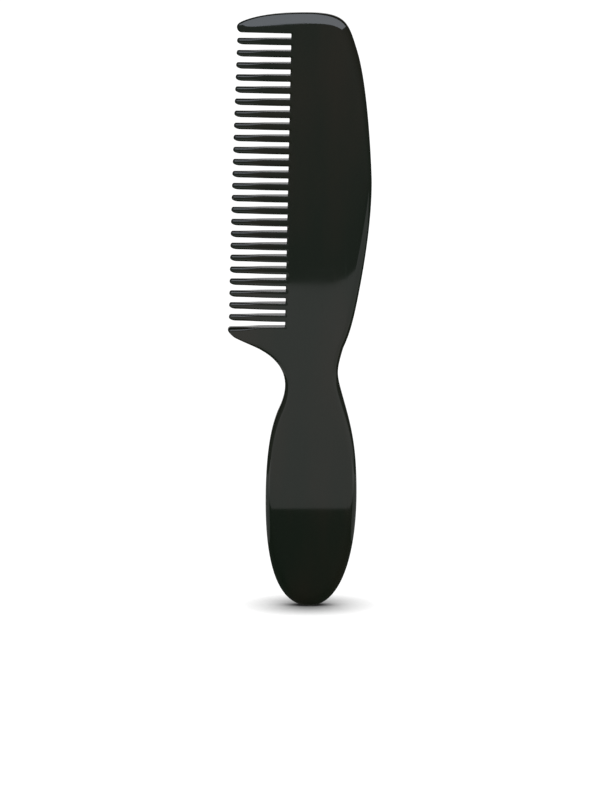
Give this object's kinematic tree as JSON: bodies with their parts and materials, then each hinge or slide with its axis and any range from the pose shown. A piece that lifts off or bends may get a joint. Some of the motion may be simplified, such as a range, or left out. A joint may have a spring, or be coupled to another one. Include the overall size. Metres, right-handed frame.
{
  "type": "beard comb",
  "caption": "One-piece black acetate beard comb with a paddle handle, wedge-shaped teeth between two guard teeth, and a hooked heel above a narrow neck.",
  "frame": {"origin": "under the middle of the comb's width and thickness, at the lowest point of the handle's rounded end", "axes": "+Z along the length from the handle to the blade, +Y through the thickness from the front face to the back face, -X the way the teeth point"},
  "size_m": [0.043, 0.005, 0.18],
  "materials": {
    "acetate": "hand-polished high gloss, solid black"
  },
  "bodies": {
    "root": {"handle": "acetate", "neck": "acetate", "spine": "acetate", "top_guard_tooth": "acetate", "heel_guard_tooth": "acetate", "tooth_01": "acetate", "tooth_02": "acetate", "tooth_03": "acetate", "tooth_04": "acetate", "tooth_05": "acetate", "tooth_06": "acetate", "tooth_07": "acetate", "tooth_08": "acetate", "tooth_09": "acetate", "tooth_10": "acetate", "tooth_11": "acetate", "tooth_12": "acetate", "tooth_13": "acetate", "tooth_14": "acetate", "tooth_15": "acetate", "tooth_16": "acetate", "tooth_17": "acetate", "tooth_18": "acetate", "tooth_19": "acetate", "tooth_20": "acetate", "tooth_21": "acetate", "tooth_22": "acetate", "tooth_23": "acetate", "tooth_24": "acetate"}
  },
  "joints": []
}
